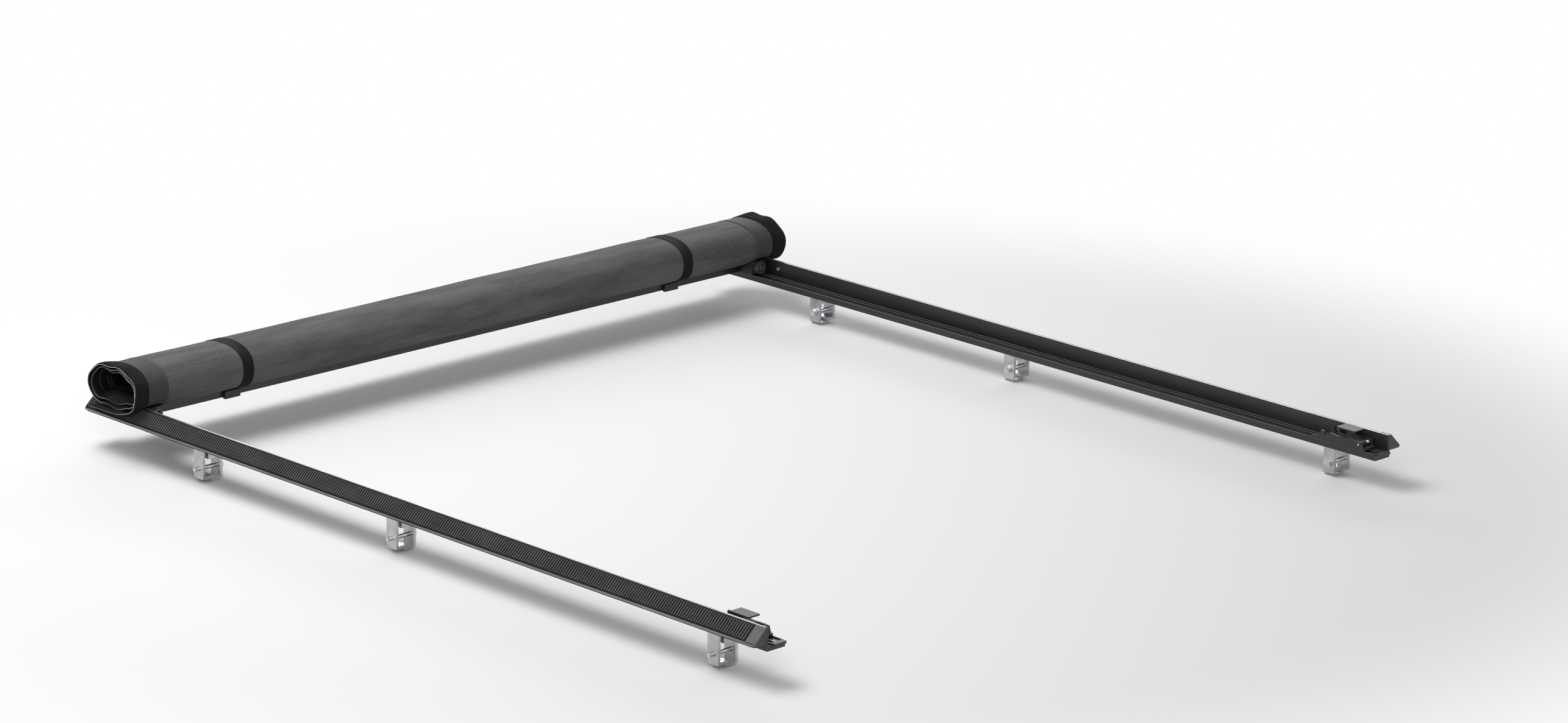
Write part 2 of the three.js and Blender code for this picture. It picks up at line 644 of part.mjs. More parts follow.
function makeLatchLever(name, side) {
  // Arm up from the pivot to the nose, then the thumb tab folded back over it.
  const nose = latchFront - LEVER_NOSE;
  const tabRear = nose - LEVER_TAB;
  const tabTop = ridgeZ + LEVER_ABOVE_RIDGE;
  const tabBottom = tabTop - LEVER_THICKNESS;
  const armStart = pivotY + LEVER_ROOT - LEVER_THICKNESS;
  const arm = [
    [armStart, pivotZ - LEVER_THICKNESS], [nose - 2 * LEVER_THICKNESS, tabTop - 4 * LEVER_THICKNESS],
    [nose, tabBottom - LEVER_THICKNESS], [nose, tabTop], [tabRear, tabTop], [tabRear, tabBottom],
    [nose - 2 * LEVER_THICKNESS, tabBottom], [nose - 3 * LEVER_THICKNESS, tabTop - 3 * LEVER_THICKNESS],
    [armStart, pivotZ + BITE],
  ];
  const root = [
    [pivotY, pivotZ - LEVER_BARREL + BITE], [pivotY + LEVER_ROOT, pivotZ - LEVER_THICKNESS],
    [pivotY + LEVER_ROOT, pivotZ + BITE], [pivotY, pivotZ + LEVER_BARREL - BITE],
  ];
  const lever = join(
    prismX(arm, acrossX(side, leverInner), acrossX(side, leverOuter)),
    prismX(root, acrossX(side, leverInner), acrossX(side, barrelOuter)),
    rod('x', LEVER_BARREL, acrossX(side, leverInner), acrossX(side, barrelOuter), [pivotY, pivotZ]),
  );
  const bore = rod(
    'x', LATCH_PIN_RADIUS + GAP, acrossX(side, leverInner - BITE),
    acrossX(side, barrelOuter + BITE), [pivotY, pivotZ], 20,
  );
  add(`latch_lever_${name}`, 'plastic', cut(lever, bore));
}

function makeLatchPin(name, side) {
  const [inner, outer] = [cheekInner - PIN_END, cheekOuter + LATCH_CHEEK + PIN_END];
  add(`latch_pin_${name}`, 'zinc', rod(
    'x', LATCH_PIN_RADIUS, acrossX(side, inner), acrossX(side, outer), [pivotY, pivotZ], 20,
  ));
}

function makeLatchSpring(name, side) {
  const radius = LATCH_PIN_RADIUS + GAP + SPRING_WIRE;
  const start = barrelOuter + GAP + SPRING_WIRE;
  const length = leverOuter - barrelOuter - 2 * (GAP + SPRING_WIRE) - 2 * GAP;
  class Coil extends THREE.Curve {
    getPoint(t, target = new THREE.Vector3()) {
      const angle = 2 * Math.PI * SPRING_TURNS * t;
      return target.set(
        acrossX(side, start + length * t),
        pivotY + radius * Math.cos(angle),
        pivotZ + radius * Math.sin(angle),
      );
    }
  }
  const wire = new THREE.Shape();
  wire.absarc(0, 0, SPRING_WIRE, 0, 2 * Math.PI);
  const coil = new THREE.ExtrudeGeometry(wire, {
    extrudePath: new Coil(), steps: 12 * SPRING_TURNS, curveSegments: 3, bevelEnabled: false,
  });
  add(`latch_spring_${name}`, 'zinc', coil);
}

// ---------------------------------------------------------------- rolled-up tarp and its core

// Point on the roll's outline at an angle, 0 towards the cab and a quarter turn up.
function rollPoint(angle, halfDepth, halfHeight) {
  const power = 2 / ROLL_SQUARENESS;
  const cos = Math.cos(angle);
  const sin = Math.sin(angle);
  return [
    rollY + halfDepth * Math.sign(cos) * Math.abs(cos) ** power,
    rollZ + halfHeight * Math.sign(sin) * Math.abs(sin) ** power,
  ];
}

function rollOutline(inset, count) {
  return Array.from({ length: count }, (_, i) => rollPoint(
    2 * Math.PI * i / count, ROLL_DEPTH / 2 - inset, ROLL_HEIGHT / 2 - inset,
  ));
}

// Half the height of the roll's hollow, `y` away from its middle.
function hollowHalfHeight(y) {
  const ratio = Math.abs(y) / (ROLL_DEPTH / 2 - ROLL_WALL);
  return (ROLL_HEIGHT / 2 - ROLL_WALL) * (1 - ratio ** ROLL_SQUARENESS) ** (1 / ROLL_SQUARENESS);
}

// The roll sags between the rails, and rises to lie over the header corners and the ridges.
const liftStart = headerHalfLength - ROLL_LIFT_RUN;
const liftedFloor = ridgeZ + ROLL_ABOVE_RIDGE;
const coreHalfLength = liftStart - CORE_END_GAP;
const rollStations = [
  [liftStart, rollBottom],
  [headerHalfLength - BITE, cornerTop + ROLL_ABOVE_CORNER],
  [headerHalfLength - BITE + ROLL_CORNER_RUN, liftedFloor],
  [rollHalfLength, liftedFloor],
];

function makeRoll() {
  const stations = [
    ...rollStations.map(([x, floor]) => [-x, floor]).reverse(),
    ...rollStations,
  ];
  const shape = new THREE.Shape(rollOutline(0, ROLL_SIDES).map((p) => new THREE.Vector2(...p)));
  shape.holes.push(new THREE.Path(rollOutline(ROLL_WALL, ROLL_SIDES).map((p) => new THREE.Vector2(...p))));
  const steps = stations.length - 1;
  const geometry = new THREE.ExtrudeGeometry(shape, { depth: steps, steps, bevelEnabled: false });
  turnTo('x', geometry);
  const position = geometry.attributes.position;
  for (let i = 0; i < position.count; i += 1) {
    const [x, floor] = stations[Math.round(position.getX(i))];
    const squeeze = (rollTop - floor) / ROLL_HEIGHT;
    position.setX(i, x);
    position.setZ(i, rollTop - (rollTop - position.getZ(i)) * squeeze);
  }
  geometry.computeVertexNormals();
  add('tarp_roll', 'tarp', geometry);
}

const barBottom = rollZ - hollowHalfHeight(BAR_DEPTH / 2 - BAR_CORNER) + 2 * GAP;
const barTop = barBottom + BAR_HEIGHT;

function roundedRectangle(a0, a1, b0, b1, corner) {
  const points = [];
  const centres = [
    [a1 - corner, b1 - corner], [a0 + corner, b1 - corner],
    [a0 + corner, b0 + corner], [a1 - corner, b0 + corner],
  ];
  centres.forEach(([a, b], quarter) => {
    for (let i = 0; i <= 3; i += 1) {
      const angle = (quarter + i / 3) * Math.PI / 2;
      points.push([a + corner * Math.cos(angle), b + corner * Math.sin(angle)]);
    }
  });
  return points;
}

function makeCore() {
  const half = BAR_DEPTH / 2;
  const corner = BAR_CORNER;
  const outer = roundedRectangle(rollY - half, rollY + half, barBottom, barTop, corner);
  const inner = roundedRectangle(
    rollY - half + BAR_WALL, rollY + half - BAR_WALL,
    barBottom + BAR_WALL, barTop - BAR_WALL, corner - BAR_WALL,
  );
  const barHalf = coreHalfLength - PLUG_FACE - GAP;
  add('rear_bar', 'rail', prismX(outer, -barHalf, barHalf, [inner]));

  const inset = BAR_WALL + GAP;
  const plugBody = roundedRectangle(
    rollY - half + inset, rollY + half - inset, barBottom + inset, barTop - inset, corner - inset,
  );
  for (const [name, side] of sides) {
    add(`rear_bar_plug_${name}`, 'plastic', join(
      prismX(outer, side * (barHalf + GAP), side * coreHalfLength),
      prismX(plugBody, side * (barHalf - PLUG_DEPTH), side * (barHalf + GAP + BITE)),
    ));
  }

  // A bow lies on each side of the bar, and one on top of it.
  const beside = half + BOW_SPACE + BOW_DEPTH / 2;
  const besideZ = rollZ - hollowHalfHeight(beside + BOW_DEPTH / 2) + 2 * GAP;
  const places = [[rollY - beside, besideZ], [rollY + beside, besideZ], [rollY, barTop + GAP]];
  places.forEach(([y, z], index) => {
    const [y0, y1] = [y - BOW_DEPTH / 2, y + BOW_DEPTH / 2];
    const hollow = rectangle(y0 + BOW_WALL, y1 - BOW_WALL, z + BOW_WALL, z + BOW_HEIGHT - BOW_WALL);
    add(`cross_bow_${index + 1}`, 'aluminium', prismX(
      rectangle(y0, y1, z, z + BOW_HEIGHT), -coreHalfLength, coreHalfLength, [hollow],
    ));
  });
}

// ---------------------------------------------------------------- roll straps

const strapRear = headerRear - GAP;
const strapEnd = headerBottom + STRAP_END_HEIGHT;

// One face of the strap, `lift` out from the roll: up the front, over the top, round the back and down again.
function strapFace(lift, rearY) {
  const halfDepth = ROLL_DEPTH / 2 + lift;
  const halfHeight = ROLL_HEIGHT / 2 + lift;
  const points = [[rollY + halfDepth, headerBottom + BITE]];
  const step = 2 * Math.PI / ROLL_SIDES;
  for (let angle = 0; angle < 1.5 * Math.PI; angle += step) {
    const point = rollPoint(angle, halfDepth, halfHeight);
    if (angle < Math.PI || point[0] < rearY - STRAP_THICKNESS) {
      points.push(point);
    }
  }
  points.push([rearY, headerTop - 2 * GAP - lift], [rearY, strapEnd]);
  return points;
}

function makeStrap(name, side) {
  const x = side * STRAP_FROM_MIDDLE;
  const half = STRAP_WIDTH / 2;
  const inner = strapFace(GAP, strapRear);
  const outer = strapFace(GAP + STRAP_THICKNESS, strapRear - STRAP_THICKNESS);
  const band = prismX([...inner, ...outer.reverse()], x - half, x + half);
  const holeEnd = headerFront + GAP + STRAP_THICKNESS + BITE;
  const hole = rod('y', RIVET_RADIUS + GAP, headerFront - BITE, holeEnd, [x, rivetZ], 16);
  add(`roll_strap_${name}`, 'webbing', cut(band, hole));

  const headSeat = headerFront + GAP + STRAP_THICKNESS + GAP;
  add(`strap_rivet_${name}`, 'zinc', join(
    rod('y', 2 * RIVET_RADIUS, headSeat, headSeat + RIVET_RADIUS, [x, rivetZ], 20),
    rod('y', RIVET_RADIUS, headerFront - HEADER_WALL - RIVET_RADIUS, headSeat + BITE, [x, rivetZ], 16),
  ));
}

// Buckle on the header's rear face: the strap's end runs into it, and its lip hooks under the header.
function makeBuckle(name, side) {
  const x = side * STRAP_FROM_MIDDLE;
  const half = BUCKLE_WIDTH / 2;
  const face = headerRear - GAP;
  const top = headerTop - BUCKLE_BELOW_HEADER_TOP;
  const lipTop = headerBottom - GAP;
  const lipBottom = lipTop - BUCKLE_LIP;
  const lipFront = headerRear + HEADER_SEAL_MARGIN - BITE;
  const lipHalf = half - BUCKLE_SIDE;
  const body = join(
    box(x - half, x + half, face - BUCKLE_DEPTH, face, lipBottom, top),
    box(x - lipHalf, x + lipHalf, face - BITE, lipFront, lipBottom, lipTop),
  );
  const strapSpace = STRAP_WIDTH / 2 + GAP;
  const slotRear = strapRear - STRAP_THICKNESS - GAP;
  const slot = box(
    x - strapSpace, x + strapSpace, slotRear, face + BITE, strapEnd - GAP, top + BITE,
  );
  add(`strap_buckle_${name}`, 'plastic', cut(body, slot));
}

// ---------------------------------------------------------------- assembly

for (const [name, side] of sides) {
  makeRail(name, side);
  makeHookStrip(name, side);
  makeRailSeal(name, side);
  makeEndCap(name, side);
  makeStopScrew(name, side);
  makeClamps(name, side);
  makeHeaderCorner(name, side);
  makeTensionBlock(name, side);
  makeTensionScrew(name, side);
  makeTensionKnob(name, side);
  makeLatchBase(name, side);
  makeLatchLever(name, side);
  makeLatchPin(name, side);
  makeLatchSpring(name, side);
  makeStrap(name, side);
  makeBuckle(name, side);
}
makeHeader();
makeRoll();
makeCore();

export default cover;
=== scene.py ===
"""Roll-up tonneau cover, rolled up at the cab end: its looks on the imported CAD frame. Blender 4.5, metres."""

import math

import bmesh
import bpy
import numpy as np
from mathutils import Matrix, Vector


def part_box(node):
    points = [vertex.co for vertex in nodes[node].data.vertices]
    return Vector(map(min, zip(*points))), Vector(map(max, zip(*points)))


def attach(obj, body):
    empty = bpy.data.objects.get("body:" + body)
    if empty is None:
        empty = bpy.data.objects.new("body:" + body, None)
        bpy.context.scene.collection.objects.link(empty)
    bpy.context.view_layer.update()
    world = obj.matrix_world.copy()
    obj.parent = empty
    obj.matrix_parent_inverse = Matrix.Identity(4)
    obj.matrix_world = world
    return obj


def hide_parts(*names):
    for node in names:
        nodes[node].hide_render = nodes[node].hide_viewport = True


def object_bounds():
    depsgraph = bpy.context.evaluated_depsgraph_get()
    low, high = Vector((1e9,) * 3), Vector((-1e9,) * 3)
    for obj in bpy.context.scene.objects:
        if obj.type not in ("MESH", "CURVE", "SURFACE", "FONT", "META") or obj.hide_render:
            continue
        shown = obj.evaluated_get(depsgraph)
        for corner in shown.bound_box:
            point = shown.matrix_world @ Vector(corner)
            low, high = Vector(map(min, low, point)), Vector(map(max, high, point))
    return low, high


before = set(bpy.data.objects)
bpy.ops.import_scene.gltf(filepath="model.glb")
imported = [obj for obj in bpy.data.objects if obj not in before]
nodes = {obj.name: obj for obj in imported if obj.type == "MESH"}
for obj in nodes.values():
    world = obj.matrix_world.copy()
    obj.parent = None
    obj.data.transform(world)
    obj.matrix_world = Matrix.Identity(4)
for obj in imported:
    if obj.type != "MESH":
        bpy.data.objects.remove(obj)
cad_low, cad_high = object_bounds()
SIDES = (("left", -1), ("right", 1))
# where the tarp's cut edge turns from painted shade (further in) to the pale scrim (at the very ends)
EDGE_SHADED_BELOW, EDGE_PALE_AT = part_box("tarp_roll")[1].x - 0.013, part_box("tarp_roll")[1].x - 0.003

# ------------------------------------------------------------------ camera

CAMERA_PLACE = Vector((-6.5584, -6.59365, 2.9329))
YAW, PITCH, ROLL = math.radians(-45.304), math.radians(16.382), math.radians(1.251)
LENS = 121.87


def make_camera():
    back = Vector((math.sin(YAW) * math.cos(PITCH), -math.cos(YAW) * math.cos(PITCH), math.sin(PITCH)))
    right = Vector((math.cos(YAW), math.sin(YAW), 0))
    up = back.cross(right)
    c, s = math.cos(ROLL), math.sin(ROLL)
    across, upward = right * c + up * s, up * c - right * s
    data = bpy.data.cameras.new("camera")
    data.lens, data.sensor_width, data.clip_end = LENS, 36.0, 100.0
    camera = bpy.data.objects.new("camera", data)
    bpy.context.scene.collection.objects.link(camera)
    camera.matrix_world = Matrix((
        (across.x, upward.x, back.x, CAMERA_PLACE.x),
        (across.y, upward.y, back.y, CAMERA_PLACE.y),
        (across.z, upward.z, back.z, CAMERA_PLACE.z),
        (0, 0, 0, 1),
    ))
    bpy.context.scene.camera = camera


# ------------------------------------------------------------------ materials


MIX_COLOUR_A, MIX_COLOUR_B, MIX_COLOUR_OUT = 6, 7, 2


def colour_of(node):
    """A node's colour output: a Mix node has one for each data type."""
    return node.outputs[MIX_COLOUR_OUT if node.bl_idname == "ShaderNodeMix" else 0]


class Nodes:
    """A material's node tree, with short ways to add and join nodes."""

    def __init__(self, name, colour, roughness, metallic=0.0, **sockets):
        self.material = bpy.data.materials.new(name)
        self.material.use_nodes = True
        self.tree = self.material.node_tree
        self.shader = self.tree.nodes["Principled BSDF"]
        self.shader.inputs["Base Color"].default_value = (*colour, 1)
        self.shader.inputs["Roughness"].default_value = roughness
        self.shader.inputs["Metallic"].default_value = metallic
        for key, value in sockets.items():
            self.shader.inputs[key.replace("_", " ")].default_value = value
        self.material.diffuse_color = (*colour, 1)

    def add(self, kind, **settings):
        node = self.tree.nodes.new("ShaderNode" + kind)
        for key, value in settings.items():
            if hasattr(node, key):
                setattr(node, key, value)
            else:
                node.inputs[key.replace("_", " ")].default_value = value
        return node

    def join(self, source, target, out=0, into=0):
        self.tree.links.new(source.outputs[out], target.inputs[into])
        return target

    def place(self, scale, coordinates="Object"):
        """Coordinates stretched by scale: the object's own, or the cloth's (across, along) in metres."""
        if coordinates == "Object":
            source, out = self.add("TexCoord"), "Object"
        else:
            source, out = self.add("UVMap", uv_map=coordinates), 0
        mapping = self.add("Mapping")
        mapping.inputs["Scale"].default_value = scale
        return self.join(source, mapping, out)

    def noise(self, scale, detail=3.0, roughness=0.55, coordinates="Object"):
        texture = self.add("TexNoise", Scale=1.0, Detail=detail, Roughness=roughness)
        return self.join(self.place(scale, coordinates), texture)

    def ramp(self, source, stops, out=0):
        node = self.add("ValToRGB")
        elements = node.color_ramp.elements
        while len(elements) < len(stops):
            elements.new(0.5)
        for element, (place, value) in zip(elements, stops):
            element.position = place
            element.color = (*value, 1) if hasattr(value, "__len__") else (value, value, value, 1)
        return self.join(source, node, out)

    def maths(self, operation, a, b, out_a=0, out_b=0):
        node = self.add("Math", operation=operation)
        for index, (value, out) in enumerate(((a, out_a), (b, out_b))):
            if isinstance(value, (int, float)):
                node.inputs[index].default_value = value
            else:
                self.tree.links.new(value.outputs[out], node.inputs[index])
        return node

    def mix(self, factor, a, b):
        node = self.add("Mix", data_type="RGBA")
        self.tree.links.new(factor.outputs[0], node.inputs["Factor"])
        for value, index in ((a, MIX_COLOUR_A), (b, MIX_COLOUR_B)):
            if isinstance(value, tuple):
                node.inputs[index].default_value = (*value, 1)
            else:
                self.tree.links.new(colour_of(value), node.inputs[index])
        return node

    def colour(self, source):
        self.tree.links.new(colour_of(source), self.shader.inputs["Base Color"])

    def rough(self, source):
        self.join(source, self.shader, 0, "Roughness")

    def bump(self, source, distance, strength=1.0, below=None):
        node = self.add("Bump", Strength=strength, Distance=distance)
        self.join(source, node, 0, "Height")
        if below is not None:
            self.join(below, node, 0, "Normal")
        return node

    def relief(self, bump):
        self.join(bump, self.shader, 0, "Normal")
        return self.material


def grey(value):
    return (value, value, value * 1.02)


def powder_coat():
    """Satin black powder coat on an extrusion: orange peel, faint draw lines and handling marks."""
    n = Nodes("satin_black_powder_coat", grey(0.016), 0.36)
    peel = n.noise((900, 900, 900), 2.0)
    lines = n.noise((420, 6, 420), 3.0)
    marks = n.noise((14, 5, 14), 6.0, 0.7)
    n.colour(n.ramp(marks, [(0.3, grey(0.011)), (0.55, grey(0.017)), (0.8, grey(0.026))]))
    n.rough(n.ramp(lines, [(0.3, 0.30), (0.7, 0.42)]))
    first = n.bump(lines, 0.00005, 0.5)
    return n.relief(n.bump(peel, 0.00008, 0.5, first))


def highlight_and_wear_coat():
    """The same coat, much paler, for the ridge, the lip's edge and the ribs: painted highlight lines there,
    with some rubbing wear from the tarp and from hands.
    """
    n = Nodes("black_coat_highlight_and_wear", grey(0.12), 0.28)
    highlight_wear = n.noise((60, 7, 60), 5.0, 0.65)
    n.colour(n.ramp(highlight_wear, [(0.3, grey(0.10)), (0.7, grey(0.26))]))
    n.rough(n.ramp(highlight_wear, [(0.3, 0.34), (0.7, 0.22)]))
    return n.relief(n.bump(n.noise((420, 6, 420), 3.0), 0.00005, 0.5))


def moulded_plastic(name, low, high):
    n = Nodes(name, grey(low), 0.5)
    grain = n.noise((1500, 1500, 1500), 3.0)
    flow = n.noise((30, 22, 30), 4.0, 0.6)
    n.colour(n.ramp(flow, [(0.3, grey(low)), (0.7, grey(high))]))
    n.rough(n.ramp(grain, [(0.3, 0.42), (0.7, 0.6)]))
    return n.relief(n.bump(grain, 0.00012, 0.6))


def foam_seal():
    n = Nodes("foam_seal_rubber", grey(0.012), 0.9)
    cells = n.join(n.place((900, 900, 900)), n.add("TexVoronoi", Scale=1.0))
    soft = n.noise((60, 60, 60), 4.0)
    n.colour(n.ramp(soft, [(0.3, grey(0.008)), (0.7, grey(0.018))]))
    return n.relief(n.bump(cells, 0.0002, 0.6))


def zinc_plate():
    n = Nodes("bright_zinc_plate", (0.60, 0.62, 0.66), 0.24, 1.0)
    cloud = n.noise((120, 120, 120), 4.0, 0.6)
    scratch = n.noise((60, 1200, 900), 3.0)
    n.colour(n.ramp(cloud, [(0.3, (0.46, 0.48, 0.52)), (0.7, (0.70, 0.71, 0.74))]))
    n.rough(n.ramp(cloud, [(0.3, 0.34), (0.7, 0.2)]))
    return n.relief(n.bump(scratch, 0.00004, 0.5))


def mill_aluminium():
    n = Nodes("mill_finish_aluminium", (0.62, 0.62, 0.63), 0.34, 1.0)
    draw = n.noise((60, 900, 60), 3.0)
    cloud = n.noise((40, 40, 40), 5.0, 0.65)
    n.colour(n.ramp(cloud, [(0.3, (0.38, 0.38, 0.39)), (0.7, (0.60, 0.60, 0.61))]))
    n.rough(n.ramp(draw, [(0.3, 0.28), (0.7, 0.44)]))
    return n.relief(n.bump(draw, 0.00006, 0.6))


def tarp_backing():
    """Underside of the coated tarp, outermost on the roll: fine ribs along the roll on a woven ground, with
    painted shade darkening the rib grooves.
    """
    n = Nodes("tarp_ribbed_backing", grey(0.08), 0.85, Specular_IOR_Level=0.2)
    ribs = n.join(
        n.place((1, 1, 1), "cloth"),
        n.add("TexWave", wave_type="BANDS", bands_direction="Y", Scale=84.0, Distortion=0.35, Detail=1.0),
    )
    weave_a = n.noise((500, 1400, 1), 2.0, 0.5, "cloth")
    weave_b = n.noise((1400, 420, 1), 2.0, 0.5, "cloth")
    weave = n.maths("MULTIPLY", weave_a, weave_b)
    patches = n.noise((5, 26, 1), 3.0, 0.6, "cloth")
    clear = n.ramp(patches, [(0.36, 0.3), (0.62, 1.0)])
    depth = n.maths("MULTIPLY", ribs, clear)
    ground = n.ramp(weave, [(0.12, grey(0.060)), (0.27, grey(0.110)), (0.4, grey(0.170))])
    # near-black colour for the rib grooves, mixed in where they are deep: painted shade
    dark = n.ramp(weave, [(0.12, grey(0.010)), (0.4, grey(0.026))])
    line = n.ramp(depth, [(0.35, 0.0), (0.85, 0.75)])
    n.colour(n.mix(line, ground, dark))
    first = n.bump(weave, 0.0003, 0.7)
    return n.relief(n.bump(n.maths("MULTIPLY", depth, -1.0), 0.0007, 0.8, first))


def hem_cloth():
    n = Nodes("hem_coated_cloth", grey(0.044), 0.7, Specular_IOR_Level=0.2)
    weave_a = n.noise((900, 1500, 1), 2.0, 0.5, "cloth")
    stain = n.noise((18, 18, 1), 4.0, 0.6, "cloth")
    n.colour(n.ramp(stain, [(0.3, grey(0.034)), (0.7, grey(0.056))]))
    n.rough(n.ramp(stain, [(0.3, 0.62), (0.7, 0.8)]))
    return n.relief(n.bump(weave_a, 0.0002, 0.5))


def raw_edge():
    """The cut edge of the tarp, where the scrim shows: pale at the roll's very ends, and near black further in,
    on the inner turns, as painted shade inside the roll.
    """
    n = Nodes("tarp_cut_edge", (0.20, 0.20, 0.20), 0.9)
    threads = n.noise((600, 600, 600), 3.0)
    axis = n.join(n.place((1, 1, 1)), n.add("SeparateXYZ"))
    reach = n.maths("ABSOLUTE", axis, 0.0)
    outer = n.add("MapRange")
    outer.inputs["From Min"].default_value = EDGE_SHADED_BELOW
    outer.inputs["From Max"].default_value = EDGE_PALE_AT
    n.join(reach, outer)
    pale = n.ramp(threads, [(0.35, grey(0.22)), (0.65, grey(0.60))])
    # edges further in than the outer turns go near black: painted shade inside the roll
    n.colour(n.mix(outer, grey(0.012), pale))
    return n.relief(n.bump(threads, 0.0003, 0.6))


def tarp_face():
    """Weather side of the coated tarp, which faces in on the roll: black vinyl with a leather-like grain."""
    n = Nodes("tarp_black_vinyl", grey(0.006), 0.65, Specular_IOR_Level=0.15)
    grain = n.join(n.place((420, 420, 420), "cloth"), n.add("TexVoronoi", Scale=1.0))
    cloud = n.noise((20, 20, 1), 4.0, 0.6, "cloth")
    n.colour(n.ramp(cloud, [(0.3, grey(0.003)), (0.7, grey(0.008))]))
    return n.relief(n.bump(grain, 0.00012, 0.6))


def tape(name, low, high):
    """Hook or loop tape: close dark pile over the modelled ribs."""
    n = Nodes(name, grey(low), 0.8, Specular_IOR_Level=0.15)
    pile = n.noise((1300, 1300, 1300), 3.0, 0.6)
    wear = n.noise((50, 16, 50), 4.0, 0.6)
    worn = n.ramp(wear, [(0.35, 0.0), (0.75, 1.0)])
    fresh = n.ramp(pile, [(0.35, grey(low)), (0.7, grey(high))])
    n.colour(n.mix(worn, fresh, grey(high)))
    return n.relief(n.bump(pile, 0.0004, 0.8))


def webbing():
    n = Nodes("woven_webbing", grey(0.012), 0.8, Specular_IOR_Level=0.15)
    across = n.join(
        n.place((1, 1, 1), "cloth"),
        n.add("TexWave", wave_type="BANDS", bands_direction="Y", Scale=170.0, Distortion=0.4, Detail=1.0),
    )
    along = n.join(
        n.place((1, 1, 1), "cloth"),
        n.add("TexWave", wave_type="BANDS", bands_direction="X", Scale=260.0, Distortion=0.3, Detail=1.0),
    )
    weave = n.maths("MULTIPLY", across, along)
    n.colour(n.ramp(weave, [(0.1, grey(0.003)), (0.7, grey(0.014))]))
    return n.relief(n.bump(weave, 0.0005, 0.8))


def thread():
    n = Nodes("sewing_thread", grey(0.07), 0.75)
    twist = n.noise((1500, 500, 1500), 2.0)
    n.colour(n.ramp(twist, [(0.3, grey(0.04)), (0.7, grey(0.11))]))
    return n.relief(n.bump(twist, 0.0002, 0.6))


MATERIALS = {
    "rail": powder_coat(),
    "plastic": moulded_plastic("moulded_black_plastic", 0.012, 0.024),
    "cap": moulded_plastic("moulded_cap_plastic", 0.028, 0.050),
    # paler coat for the rails' edges: painted highlight lines, with some rubbing wear
    "highlight_and_wear": highlight_and_wear_coat(),
    "knob": moulded_plastic("moulded_grey_plastic", 0.050, 0.080),
    "seal": foam_seal(),
    "zinc": zinc_plate(),
    "aluminium": mill_aluminium(),
    "tarp": tarp_backing(),
    "hem": hem_cloth(),
    "edge": raw_edge(),
    "vinyl": tarp_face(),
    "hook": tape("hook_tape_black", 0.002, 0.005),
    # much paler copy of the black hook tape for the rib rows: painted highlight
    "hook_rib_highlight": tape("hook_tape_ribs_painted_highlight", 0.045, 0.130),
    "loop": tape("loop_tape_black", 0.003, 0.009),
    "webbing": webbing(),
    "thread": thread(),
}

# ------------------------------------------------------------------ mesh helpers


def piece(name, points, faces, material, body, smooth=True, cloth=None, materials_of=None):
    """A mesh object riding on a body. cloth holds each point's (across, along) on the flat cloth."""
    mesh = bpy.data.meshes.new(name)
    mesh.from_pydata([tuple(p) for p in points], [], [tuple(f) for f in faces])
    if cloth is not None:
        layer = mesh.uv_layers.new(name="cloth")
        index = np.zeros(len(mesh.loops), np.int32)
        mesh.loops.foreach_get("vertex_index", index)
        layer.data.foreach_set("uv", np.asarray(cloth, np.float32)[index].ravel())
    for m in material if isinstance(material, (list, tuple)) else [material]:
        mesh.materials.append(MATERIALS[m])
    if materials_of is not None:
        mesh.polygons.foreach_set("material_index", np.asarray(materials_of, np.int32))
    mesh.polygons.foreach_set("use_smooth", [smooth] * len(mesh.polygons))
    mesh.update()
    o = bpy.data.objects.new(name, mesh)
    bpy.context.scene.collection.objects.link(o)
    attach(o, body)
    return o


def grid(rows, columns, close_rows=False, close_columns=False):
    """Faces of a rows by columns grid of points, row after row."""
    made = []
    for i in range(rows if close_rows else rows - 1):
        for j in range(columns if close_columns else columns - 1):
            a, b = i * columns + j, i * columns + (j + 1) % columns
            c, d = ((i + 1) % rows) * columns + (j + 1) % columns, ((i + 1) % rows) * columns + j
            made.append((a, b, c, d))
    return made


def face_outward(o):
    """Turns every face of a closed piece outward."""
    bm = bmesh.new()
    bm.from_mesh(o.data)
    bmesh.ops.recalc_face_normals(bm, faces=bm.faces)
    bm.to_mesh(o.data)
    bm.free()


def bevelled(o, width, segments=2, angle=32, clean=True):
    """Rounds the hard edges of a piece, CAD nodes among them, with modifiers only."""
    if clean:
        flat = o.modifiers.new("flat", "DECIMATE")
        flat.decimate_type = "DISSOLVE"
        flat.angle_limit = math.radians(0.6)
    bevel = o.modifiers.new("edges", "BEVEL")
    bevel.width = width
    bevel.segments = segments
    bevel.limit_method = "ANGLE"
    bevel.angle_limit = math.radians(angle)
    bevel.harden_normals = True
    bevel.use_clamp_overlap = True
    o.data.polygons.foreach_set("use_smooth", [True] * len(o.data.polygons))
    return o


def smoothstep(x):
    x = np.clip(x, 0, 1)
    return x * x * (3 - 2 * x)


# ------------------------------------------------------------------ hard pieces, carried over from CAD

